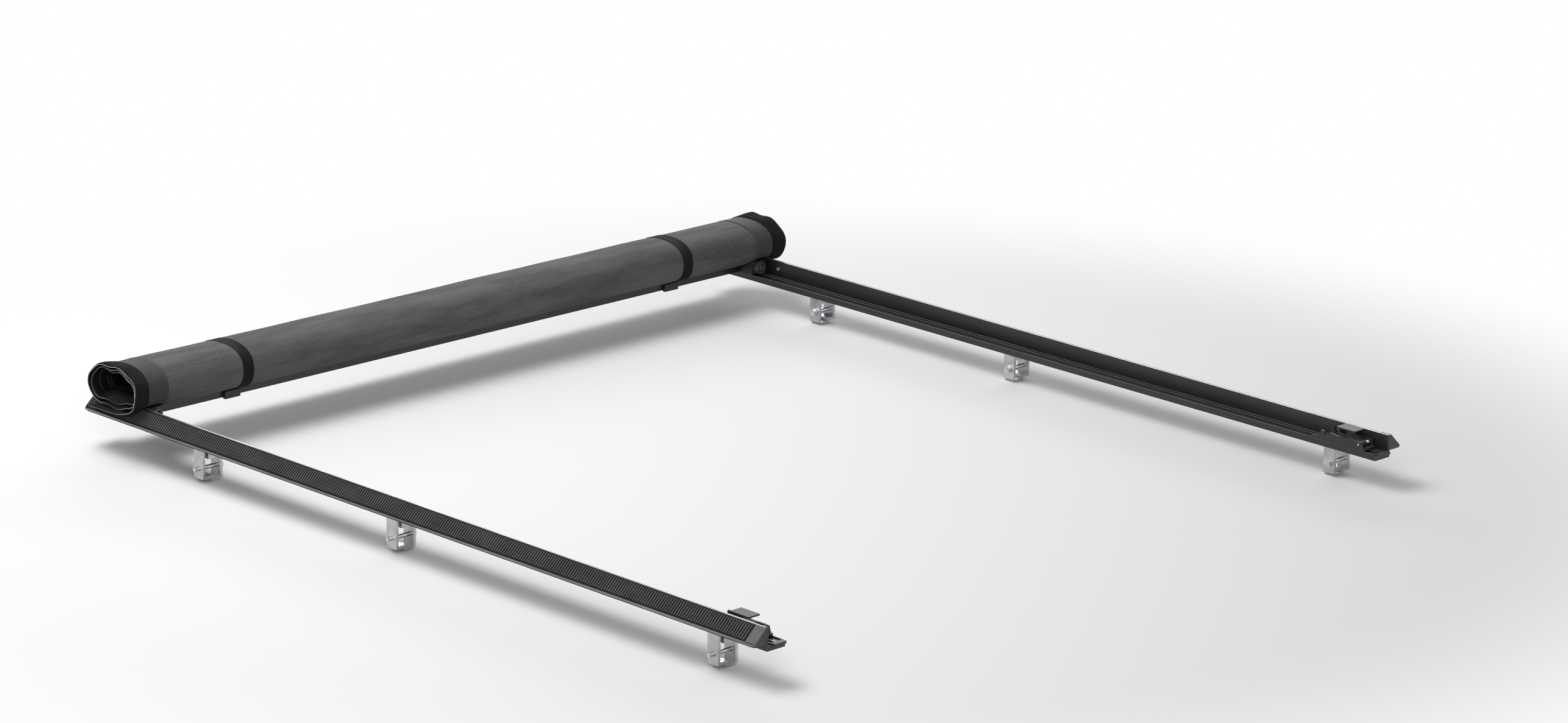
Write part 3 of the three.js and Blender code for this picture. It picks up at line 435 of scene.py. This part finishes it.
FINISH = {
    "rail_end_cap": ("cap", 0.0006),
    "rail_seal": ("seal", 0.0006),
    "rail": ("rail", 0.0005),
    "stop_screw": ("zinc", 0.0004),
    "clamp_body": ("aluminium", 0.0007),
    "clamp_jaw": ("aluminium", 0.0004),
    "clamp_bolt": ("zinc", 0.0005),
    "header_rail": ("rail", 0.0008),
    "header_seal": ("seal", 0.0006),
    "header_corner": ("plastic", 0.0015),
    "tension_block": ("plastic", 0.0015),
    "tension_screw": ("zinc", 0.0004),
    "tension_knob": ("knob", 0.0005),
    "latch_base": ("plastic", 0.0007),
    "latch_lever": ("plastic", 0.0007),
    "latch_pin": ("zinc", 0.0004),
    "latch_spring": ("zinc", 0),
    "rear_bar_plug": ("plastic", 0.0006),
    "rear_bar": ("rail", 0.0006),
    "cross_bow": ("rail", 0.0006),
    "strap_rivet": ("zinc", 0.0005),
    "strap_buckle": ("plastic", 0.0010),
}


def finish_of(name):
    return next((FINISH[key] for key in sorted(FINISH, key=len, reverse=True) if name.startswith(key)), None)


for name, node in nodes.items():
    finish = finish_of(name)
    if finish is None:
        continue
    node.data.materials.clear()
    node.data.materials.append(MATERIALS[finish[0]])
    if finish[1]:
        bevelled(node, finish[1])
    else:
        node.data.polygons.foreach_set("use_smooth", [True] * len(node.data.polygons))

RIB_STRIP = 0.0025


def paint_highlight_lines(node, ridge_top):
    """Give the ridge's flat, the lip's outer edge and the narrow tops of the ribs the paler coat, which paints
    highlight lines on them, with some wear.
    """
    mesh = node.data
    mesh.materials.append(MATERIALS["highlight_and_wear"])
    lip = max(abs(v.co.x) for v in mesh.vertices)
    for face in mesh.polygons:
        across = [mesh.vertices[i].co.x for i in face.vertices]
        narrow = max(across) - min(across) < RIB_STRIP
        on_top = face.normal.z > 0.95 and (narrow or face.center.z > ridge_top - 0.001)
        if on_top or (abs(face.normal.x) > 0.95 and abs(face.center.x) > lip - 0.0005):
            face.material_index = 1


# painted highlight lines along each rail's edges
for side_name, side in SIDES:
    paint_highlight_lines(nodes[f"rail_{side_name}"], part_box(f"rail_{side_name}")[1].z)

# ------------------------------------------------------------------ hook strips on the rails

HOOK_PITCH = 0.0058
HOOK_RIB = 0.0026
HOOK_BASE = 0.0008


def hook_strip(side_name, side):
    """Backing tape on the rail's slope, with a raised row of hooks every few millimetres, the rows coloured as
    a much paler copy of the black tape: painted highlight.
    """
    node = f"hook_strip_{side_name}"
    low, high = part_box(node)
    points = np.array([v.co for v in nodes[node].data.vertices], float)
    corner = sorted({tuple(np.round(p[[0, 2]], 6)) for p in points}, key=lambda p: abs(p[0]))
    bottom_in, top_in = sorted(corner[:2], key=lambda p: p[1])
    bottom_out = min(corner[2:], key=lambda p: p[1])
    base = np.array(bottom_in)
    along = np.array(bottom_out) - base
    width = np.linalg.norm(along)
    along = along / width
    out = np.array(top_in) - base
    thick = np.linalg.norm(out)
    out = out / thick
    made, faces, rib_highlights = [], [], []

    def add_bar(u0, u1, y0, y1, h0, h1, round_top, rib_highlight):
        """A bar on the slope from u0 to u1 across and y0 to y1 along, h0 to h1 off the surface."""
        section = [(y0, h0), (y0 + round_top * 0.3, h1 - round_top * 0.35), (y0 + round_top, h1),
                   (y1 - round_top, h1), (y1 - round_top * 0.3, h1 - round_top * 0.35), (y1, h0)]
        start = len(made)
        for u in (u0, u1):
            for y, h in section:
                place = base + along * u + out * h
                made.append((place[0], y, place[1]))
        n = len(section)
        for i in range(n):
            faces.append((start + i, start + (i + 1) % n, start + n + (i + 1) % n, start + n + i))
        faces.append(tuple(start + i for i in reversed(range(n))))
        faces.append(tuple(start + n + i for i in range(n)))
        rib_highlights.extend([rib_highlight] * (n + 2))

    add_bar(0, width, low.y, high.y, 0, HOOK_BASE, 0.0002, 0)
    count = int((high.y - low.y - 0.002) / HOOK_PITCH)
    first = low.y + ((high.y - low.y) - (count - 1) * HOOK_PITCH - HOOK_RIB) / 2
    for i in range(count):
        y = first + i * HOOK_PITCH
        # rib rows take the paler copy of the tape: painted highlight
        add_bar(0.0018, width - 0.0018, y, y + HOOK_RIB, HOOK_BASE - 0.0001, thick + 0.0002, 0.0008, 1)
    o = piece(
        f"hook_tape_{side_name}", made, faces, ["hook", "hook_rib_highlight"], "rails", smooth=False,
        materials_of=rib_highlights,
    )
    face_outward(o)
    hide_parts(node)


for side_name, side in SIDES:
    hook_strip(side_name, side)

# ------------------------------------------------------------------ the rolled tarp

roll_low, roll_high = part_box("tarp_roll")
header_low, header_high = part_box("header_rail")
ROLL_Y = (roll_low.y + roll_high.y) / 2
ROLL_TOP = roll_high.z
ROLL_FLOOR = roll_low.z + 0.0014
HALF_DEPTH = (roll_high.y - roll_low.y) / 2 - 0.0006
HALF_HEIGHT = (ROLL_TOP - ROLL_FLOOR) / 2
ROLL_Z = (ROLL_TOP + ROLL_FLOOR) / 2
ROLL_END = roll_high.x
SQUARENESS = 2.4
TURNS = 5
LAYER = 0.0029
CLOTH = 0.0009
AROUND = 1200
STRAP_X = (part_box("roll_strap_right")[0].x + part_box("roll_strap_right")[1].x) / 2
STRAP_WIDTH = 0.025
PINCH = 0.0016
BAND_WIDTH = 0.034
HEM_WIDTH = 0.046
CORNER_IN, CORNER_OUT = 0.722, 0.7565
CORNER_MIDDLE = 0.742
RIDGE_IN, RIDGE_OUT, LIP = 0.768, 0.804, 0.816
ON_RIDGE = 0.1008
LOOSE_FROM = 0.735
INSIDE_CORNERS = 0.7165
UNDERSIDE = (
    (0, ROLL_FLOOR), (CORNER_IN, ROLL_FLOOR), (CORNER_MIDDLE, 0.0895), (CORNER_OUT, 0.0975),
    (RIDGE_IN, ON_RIDGE), (RIDGE_OUT, ON_RIDGE), (LIP, 0.0960), (ROLL_END, 0.0840),
)


def outline():
    """Places and outward normals round the roll, evenly spaced: underside, rear, top, front."""
    angle = -math.pi / 2 - np.linspace(0, 2 * math.pi, 8001)
    power = 2 / SQUARENESS
    cos, sin = np.cos(angle), np.sin(angle)
    y = HALF_DEPTH * np.sign(cos) * np.abs(cos) ** power
    z = HALF_HEIGHT * np.sign(sin) * np.abs(sin) ** power
    length = np.concatenate([[0], np.cumsum(np.hypot(np.diff(y), np.diff(z)))])
    even = np.linspace(0, length[-1], AROUND + 1)
    y, z = np.interp(even, length, y), np.interp(even, length, z)
    y[-1], z[-1] = y[0], z[0]
    ty = np.roll(y[:-1], -1) - np.roll(y[:-1], 1)
    tz = np.roll(z[:-1], -1) - np.roll(z[:-1], 1)
    size = np.hypot(ty, tz)
    normal = np.stack([tz / size, -ty / size], axis=1)
    if (normal[0] @ np.array([0, -1])) < 0:
        normal = -normal
    return np.stack([y[:-1], z[:-1]], axis=1), normal, length[-1]


OUTLINE, NORMALS, PERIMETER = outline()


def at_turn(turn):
    """Place and normal on the outline at a part of a turn, 0 underneath and a quarter at the rear."""
    at = (np.asarray(turn, float) % 1.0) * AROUND
    i = np.floor(at).astype(int) % AROUND
    f = (at - np.floor(at))[..., None]
    j = (i + 1) % AROUND
    n = NORMALS[i] * (1 - f) + NORMALS[j] * f
    return OUTLINE[i] * (1 - f) + OUTLINE[j] * f, n / np.linalg.norm(n, axis=-1, keepdims=True)


def floor_at(x):
    """Underside of the roll: low between the rails, up over the corners and ridges, drooping past them."""
    places, heights = zip(*UNDERSIDE)
    return np.interp(np.abs(x), places, heights)


def wander(x, turn, seed):
    """Slow uneven bulges of the outer layers, up to about 1."""
    a = 2 * math.pi * turn
    return (
        0.45 * np.sin(6.1 * x + 1.3 * seed + 1.7 * np.cos(a))
        + 0.30 * np.sin(15.3 * x - 0.7 * seed + 2 * a)
        + 0.25 * np.sin(31.0 * x + 2.1 * seed - a + 0.8 * np.sin(2 * a))
    )


def roll_point(turn, x, lift=0.0):
    """A point of the rolled sheet: turn counts layers inward, x runs along the roll, lift is off the face."""
    turn, x = np.broadcast_arrays(np.asarray(turn, float), np.asarray(x, float))
    place, normal = at_turn(turn)
    part = turn % 1.0
    under = np.clip(-normal[..., 1], 0, 1) ** 2
    over = np.clip(normal[..., 1], 0, 1) ** 2
    side = 1 - under
    inset = LAYER * turn
    end = smoothstep((np.abs(x) - LOOSE_FROM) / 0.09)
    tip = smoothstep((np.abs(x) - (ROLL_END - BAND_WIDTH - 0.006)) / 0.030)
    deep = np.minimum(turn, 2.4)
    buckle = np.where(turn > 0.9, 0.0015, 0) * np.sin(5 * part * 2 * math.pi + 9 * np.sign(x))
    loose = end * (deep * (0.0062 * under + 0.0016 * over) + buckle)
    pinch = PINCH * np.exp(-(((np.abs(x) - STRAP_X) / 0.016) ** 2)) * side * np.exp(-turn)
    bulge = 0.0010 * wander(x, part, 1.0) * side * (1 - end * 0.5) * np.exp(-0.3 * turn)
    flare = 0.0042 * tip * side * np.exp(-0.8 * turn)
    ripple = 0.0016 * tip * np.sin(2 * math.pi * 7 * part + np.where(x < 0, 0.6, 2.2)) * (0.35 + 0.65 * side)
    out = lift - inset - loose - pinch + bulge + flare + ripple
    y = ROLL_Y + place[..., 0] + normal[..., 0] * out
    z = ROLL_Z + place[..., 1] + normal[..., 1] * out
    lying_on = floor_at(x) - out
    soft = 0.003 * np.clip((floor_at(x) - ROLL_FLOOR) / 0.01, 0, 1)
    above = z - lying_on
    z = lying_on + (above + np.sqrt(above ** 2 + soft ** 2)) / 2
    return np.stack([x, y, z], axis=-1)


def reach_of(turn):
    """How far out a layer's edge comes, as a share of the outermost: inner turns draw in more and more."""
    drawn_in = 0.0032 * turn + 0.022 * smoothstep(turn - 2.3) + 0.004 * np.maximum(0.0, turn - 3.3)
    return (ROLL_END - drawn_in + 0.0015 * np.sin(11 * turn)) / ROLL_END


def along_roll():
    """Places along the roll: close together near its ends and at the straps."""
    ends = np.linspace(LOOSE_FROM, ROLL_END, 16)
    from_strap = np.array([0.006, STRAP_WIDTH / 2, 0.018, 0.026, 0.04])
    straps = STRAP_X + np.concatenate([-from_strap[::-1], [0], from_strap])
    rest = np.concatenate([np.linspace(0.03, 0.51, 13), np.linspace(0.625, 0.715, 4)])
    half = np.sort(np.concatenate([ends, straps, rest]))
    return np.concatenate([-half[::-1], half])


def make_tarp():
    """One sheet rolled in a spiral: from the header's groove under the roll, round it and inward."""
    xs = along_roll()
    per_turn = 84
    turns = np.linspace(0.0, TURNS, per_turn * TURNS + 1)
    tail = np.linspace(header_high.y - 0.006, ROLL_Y + 0.004, 7)
    rows, along = [], []
    run = 0.0
    for y in tail:
        z = np.full_like(xs, header_high.z + 0.0009)
        inside = np.abs(xs) < INSIDE_CORNERS
        lifted = floor_at(xs) - 0.0011
        z = np.where(inside, z, np.maximum(z, lifted))
        rows.append(np.stack([xs, np.full_like(xs, y), z], axis=-1))
        along.append(run)
        run += abs(tail[1] - tail[0])
    for t in turns[1:]:
        row = roll_point(t, xs)
        row[:, 0] = xs * reach_of(t)
        rows.append(row)
        along.append(run)
        run += (PERIMETER - 2 * math.pi * LAYER * t) / per_turn
    points = np.concatenate(rows)
    cloth = np.concatenate([np.stack([xs, np.full_like(xs, a)], axis=-1) for a in along])
    faces = grid(len(rows), len(xs))
    o = piece("tarp_sheet", points, faces, ["tarp", "vinyl", "edge"], "header", cloth=cloth)
    thick = o.modifiers.new("thickness", "SOLIDIFY")
    thick.thickness = CLOTH
    thick.offset = 0
    thick.material_offset = 1
    thick.material_offset_rim = 2
    thick.use_even_offset = False
    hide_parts("tarp_roll")
    return o, run


def ring(name, material, x_from, x_to, lift, thick, turns, steps, relief=None, columns=7):
    """A band on the roll's outer face between two places along it; relief gives extra height round it."""
    xs = np.linspace(x_from, x_to, columns)
    ts = np.linspace(turns[0], turns[1], steps)
    extra = np.zeros(steps) if relief is None else relief(np.arange(steps))
    outer = [roll_point(t, xs, lift + thick + e) for t, e in zip(ts, extra)]
    inner = [roll_point(t, xs, lift) for t in ts]
    for row, t in zip(outer + inner, np.concatenate([ts, ts])):
        row[:, 0] *= reach_of(t)
    for row in outer:
        row[0] = row[0] * 0.9 + row[1] * 0.1
    points = np.concatenate([np.concatenate([o_row, i_row[::-1]]) for o_row, i_row in zip(outer, inner)])
    n = 2 * columns
    faces = grid(steps, n, close_columns=True)
    faces += [tuple(range(n)), tuple((steps - 1) * n + i for i in reversed(range(n)))]
    cloth = np.concatenate([
        np.stack([np.concatenate([xs, xs[::-1]]), np.full(n, t * PERIMETER)], axis=-1) for t in ts
    ])
    o = piece(name, points, faces, material, "header", cloth=cloth)
    face_outward(o)
    return o


def stitched(turn, x, lift):
    """A point on the sewn edge, which draws in as its layer does."""
    return roll_point(turn, x, lift) * (reach_of(turn), 1, 1)


def stitches(name, x, lift, turns, pitch=0.0048, length=0.0034):
    """A row of thread stitches round the roll at one place along it."""
    count = int((turns[1] - turns[0]) * PERIMETER / pitch)
    points, faces = [], []
    for i in range(count):
        t = turns[0] + (i + 0.5) * pitch / PERIMETER
        half = length / 2 / PERIMETER
        start = len(points)
        for k, height in ((-1, -0.0001), (-0.6, 0.00015), (0.6, 0.00015), (1, -0.0001)):
            for dx in (-0.00045, 0.00045):
                points.append(stitched(t + k * half, x + dx, lift + height))
            points.append(stitched(t + k * half, x, lift + height + 0.00015))
        for k in range(3):
            a = start + 3 * k
            faces += [(a, a + 3, a + 5, a + 2), (a + 2, a + 5, a + 4, a + 1), (a + 1, a + 4, a + 3, a)]
        faces += [(start, start + 2, start + 1), (start + 9, start + 10, start + 11)]
    return piece(name, points, faces, "thread", "header")


TRIM_TURNS = 1.9
LOOP_PITCH = 0.0036
LOOP_RIB = np.array([0.0, 0.0006, 0.0009, 0.0009, 0.0006, 0.0])


def loop_relief(step):
    """Height of the loop tape's rows at each step round the roll."""
    return LOOP_RIB[step % len(LOOP_RIB)]


tarp, tarp_length = make_tarp()
for side_name, side in SIDES:
    outer = side * (ROLL_END - 0.0015)
    tape_edge = side * (ROLL_END - BAND_WIDTH)
    hem_edge = side * (ROLL_END - BAND_WIDTH - HEM_WIDTH)
    ribs = int(PERIMETER * 1.02 / LOOP_PITCH)
    ring(
        f"hem_{side_name}", "hem", outer - side * 0.002, hem_edge, CLOTH / 2 - 0.0001, 0.0007,
        (0.02, TRIM_TURNS), 300, columns=13,
    )
    ring(
        f"loop_tape_{side_name}", "loop", outer, tape_edge, CLOTH / 2 + 0.0006, 0.0009,
        (0.015, TRIM_TURNS), int(TRIM_TURNS * ribs) * len(LOOP_RIB) + 1, relief=loop_relief,
    )
    for label, x in (("a", tape_edge - side * 0.0035), ("b", hem_edge + side * 0.0035)):
        stitches(f"hem_stitches_{side_name}_{label}", x, CLOTH / 2 + 0.0006, (0.03, 0.99))

# ------------------------------------------------------------------ roll straps


def strap_line():
    """The strap's inner face: up the header's front, over the roll and down behind it to its buckle."""
    front, rear = header_high.y + 0.0004, header_low.y - 0.0006
    turns = np.linspace(0.762, 0.02, 150)
    over = roll_point(turns, np.full_like(turns, STRAP_X), CLOTH / 2 + 0.0002)[:, 1:]
    over = over[(over[:, 0] < rear - 0.0035) | (over[:, 1] > ROLL_Z)]
    start = np.array([[front, z] for z in np.linspace(header_low.z + 0.001, header_high.z + 0.012, 8)])
    end = np.array([[rear - 0.0014, header_high.z - 0.0008], [rear - 0.0002, header_high.z - 0.0035],
                    [rear, header_high.z - 0.006], [rear, header_low.z + 0.0045]])
    line = np.concatenate([start, over, end])
    for _ in range(10):
        line[1:-1] = line[1:-1] * 0.5 + (line[:-2] + line[2:]) * 0.25
    return line


CORD_BULGE, CORD_RISE = 0.0003, 0.0002
CORD_FLAT, CORD_END = 0.0014, 0.0018


def band(name, line, x, width, thick, outward, body="header"):
    """A flat webbing strap along a line in the YZ plane, with selvedge cords along its two edges."""
    tangent = np.gradient(line, axis=0)
    tangent /= np.linalg.norm(tangent, axis=1)[:, None]
    normal = np.stack([tangent[:, 1], -tangent[:, 0]], axis=1) * outward
    half = width / 2
    cord = [(0, 0), (CORD_BULGE, thick / 2), (0, thick + CORD_RISE), (-CORD_FLAT, thick + CORD_RISE),
            (-CORD_END, thick)]
    section = [(-half - a, h) for a, h in cord] + [(half + a, h) for a, h in reversed(cord)]
    run = np.concatenate([[0], np.cumsum(np.linalg.norm(np.diff(line, axis=0), axis=1))])
    points, cloth = [], []
    for p, n, s in zip(line, normal, run):
        for a, h in section:
            q = p + n * h
            points.append((x + a, q[0], q[1]))
            cloth.append((a, s))
    k = len(section)
    faces = grid(len(line), k, close_columns=True)
    faces += [tuple(range(k)), tuple((len(line) - 1) * k + i for i in reversed(range(k)))]
    o = piece(name, points, faces, "webbing", body, cloth=cloth)
    face_outward(o)
    bevel = o.modifiers.new("edges", "BEVEL")
    bevel.width, bevel.segments, bevel.limit_method = 0.0002, 1, "ANGLE"
    return o


for side_name, side in SIDES:
    strap = band(f"strap_{side_name}", strap_line(), side * STRAP_X, STRAP_WIDTH, 0.0016, 1)
    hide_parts(f"roll_strap_{side_name}")

# ------------------------------------------------------------------ floor, light, background


def seen_directly(tree):
    """1 on rays from the camera, straight or by way of gloss or glass, and 0 on rays that only light."""
    path = tree.nodes.new("ShaderNodeLightPath")
    seen = path.outputs["Is Camera Ray"]
    for ray in ("Is Glossy Ray", "Is Transmission Ray"):
        either = tree.nodes.new("ShaderNodeMath")
        either.operation = "MAXIMUM"
        tree.links.new(seen, either.inputs[0])
        tree.links.new(path.outputs[ray], either.inputs[1])
        seen = either.outputs[0]
    return seen


def floor_material():
    """A pale floor that keeps the object's shadow, and is plain white further away for the camera."""
    n = Nodes("studio_floor", (0.80, 0.80, 0.80), 0.9)
    n.shader.inputs["Specular IOR Level"].default_value = 0.1
    away = n.add("VectorMath", operation="LENGTH")
    n.join(n.place((1, 1, 1)), away)
    far = n.add("MapRange", interpolation_type="SMOOTHSTEP")
    far.inputs["From Min"].default_value = 1.3
    far.inputs["From Max"].default_value = 2.1
    n.tree.links.new(away.outputs["Value"], far.inputs["Value"])
    amount = n.maths("MULTIPLY", far, 1.0)
    n.tree.links.new(seen_directly(n.tree), amount.inputs[1])
    white = n.add("Emission")
    blend = n.add("MixShader")
    n.tree.links.new(amount.outputs[0], blend.inputs[0])
    n.tree.links.new(n.shader.outputs[0], blend.inputs[1])
    n.tree.links.new(white.outputs[0], blend.inputs[2])
    n.tree.links.new(blend.outputs[0], n.tree.nodes["Material Output"].inputs["Surface"])
    return n.material


def make_stage():
    bm = bmesh.new()
    bmesh.ops.create_grid(bm, x_segments=1, y_segments=1, size=40)
    mesh = bpy.data.meshes.new("floor")
    bm.to_mesh(mesh)
    bm.free()
    mesh.materials.append(floor_material())
    floor = bpy.data.objects.new("floor", mesh)
    floor.location.z = cad_low.z - 0.0003
    bpy.context.scene.collection.objects.link(floor)


def area(name, place, target, size, power):
    light = bpy.data.lights.new(name, "AREA")
    light.shape, light.size, light.size_y, light.energy = "RECTANGLE", size[0], size[1], power
    o = bpy.data.objects.new(name, light)
    o.location = place
    o.rotation_mode = "QUATERNION"
    o.rotation_quaternion = (Vector(target) - Vector(place)).to_track_quat("-Z", "Y")
    bpy.context.scene.collection.objects.link(o)


def make_world():
    world = bpy.data.worlds.new("studio")
    bpy.context.scene.world = world
    world.use_nodes = True
    tree = world.node_tree
    shader = tree.nodes["Background"]
    shader.inputs["Color"].default_value = (1, 1, 1, 1)
    level = tree.nodes.new("ShaderNodeMapRange")
    level.inputs["To Min"].default_value = 0.32
    level.inputs["To Max"].default_value = 1.0
    tree.links.new(seen_directly(tree), level.inputs["Value"])
    tree.links.new(level.outputs[0], shader.inputs["Strength"])


make_camera()
make_stage()
make_world()
area("key", (-1.2, 1.5, 3.6), (0, 0, 0), (3.0, 2.0), 125)
area("fill", (-3.5, -3.0, 2.6), (0, 0, 0.1), (2.2, 1.6), 55)
area("rim", (3.6, 3.0, 1.75), (0, 0, 0.1), (5.5, 0.9), 80)

view = bpy.context.scene.view_settings
view.view_transform = "Standard"
